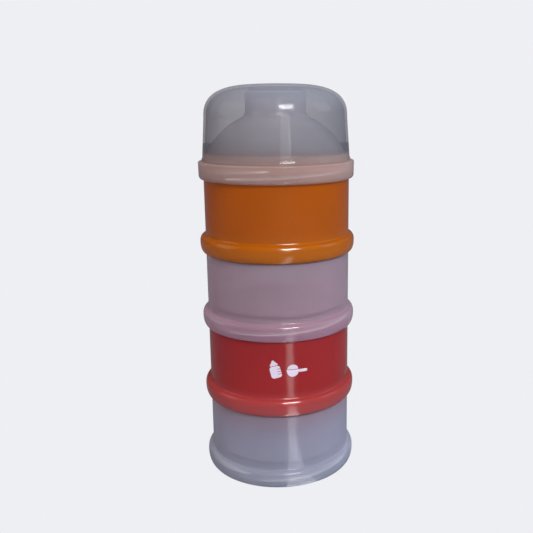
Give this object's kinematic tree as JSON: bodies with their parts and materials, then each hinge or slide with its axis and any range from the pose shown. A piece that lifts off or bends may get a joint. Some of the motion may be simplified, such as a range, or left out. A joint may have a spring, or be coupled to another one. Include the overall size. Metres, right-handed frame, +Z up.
{
  "type": "stacking milk powder dispenser",
  "caption": "Stack of screw-together round powder compartments in clear, red and orange plastic, with a domed pouring funnel under a clear push-on cap.",
  "frame": {"origin": "middle of the base compartment's bottom rim, on the surface it stands on", "axes": "+Z up the stack's axis, -Y towards the printed front, +X to the right seen from the front"},
  "size_m": [0.0732, 0.0732, 0.1837],
  "materials": {
    "frosted_clear": "natural polypropylene, milky and translucent, satin moulded surface",
    "red_plastic": "red polypropylene, slightly translucent, satin moulded surface",
    "orange_plastic": "orange polypropylene, slightly translucent, satin moulded surface",
    "clear_plastic": "clarified polypropylene, clear with a light haze, glossy",
    "seal_silicone": "soft translucent silicone, matt",
    "white_ink": "white pad-printed ink"
  },
  "bodies": {
    "base_cup": {"base_cup": "frosted_clear"},
    "seal_1": {"seal_1": "seal_silicone"},
    "red_cup": {"red_cup": "red_plastic", "printed_mark": "white_ink"},
    "seal_2": {"seal_2": "seal_silicone"},
    "clear_cup": {"clear_cup": "frosted_clear"},
    "seal_3": {"seal_3": "seal_silicone"},
    "orange_cup": {"orange_cup": "orange_plastic"},
    "seal_4": {"seal_4": "seal_silicone"},
    "funnel": {"funnel": "frosted_clear"},
    "cap": {"cap": "clear_plastic"}
  },
  "joints": [
    {"name": "red_lift", "type": "slide", "parent": "base_cup", "child": "seal_1", "axis": [0, 0, 1], "range_m": [0, 0.0094]},
    {"name": "red_turn", "type": "hinge", "parent": "seal_1", "child": "red_cup", "pos_m": [0, 0, 0.0357], "axis": [0, 0, 1], "range_deg": [0, 400]},
    {"name": "clear_lift", "type": "slide", "parent": "red_cup", "child": "seal_2", "axis": [0, 0, 1], "range_m": [0, 0.0094]},
    {"name": "clear_turn", "type": "hinge", "parent": "seal_2", "child": "clear_cup", "pos_m": [0, 0, 0.0714], "axis": [0, 0, 1], "range_deg": [0, 400]},
    {"name": "orange_lift", "type": "slide", "parent": "clear_cup", "child": "seal_3", "axis": [0, 0, 1], "range_m": [0, 0.0094]},
    {"name": "orange_turn", "type": "hinge", "parent": "seal_3", "child": "orange_cup", "pos_m": [0, 0, 0.1071], "axis": [0, 0, 1], "range_deg": [0, 400]},
    {"name": "funnel_lift", "type": "slide", "parent": "orange_cup", "child": "seal_4", "axis": [0, 0, 1], "range_m": [0, 0.0094]},
    {"name": "funnel_turn", "type": "hinge", "parent": "seal_4", "child": "funnel", "pos_m": [0, 0, 0.1428], "axis": [0, 0, 1], "range_deg": [0, 400]},
    {"name": "cap_lift", "type": "slide", "parent": "funnel", "child": "cap", "axis": [0, 0, 1], "range_m": [0, 0.045]}
  ],
  "couplings": [
    {"joint": "red_lift", "follows": "red_turn", "m_per_rad": 0.0013369},
    {"joint": "clear_lift", "follows": "clear_turn", "m_per_rad": 0.0013369},
    {"joint": "orange_lift", "follows": "orange_turn", "m_per_rad": 0.0013369},
    {"joint": "funnel_lift", "follows": "funnel_turn", "m_per_rad": 0.0013369}
  ]
}
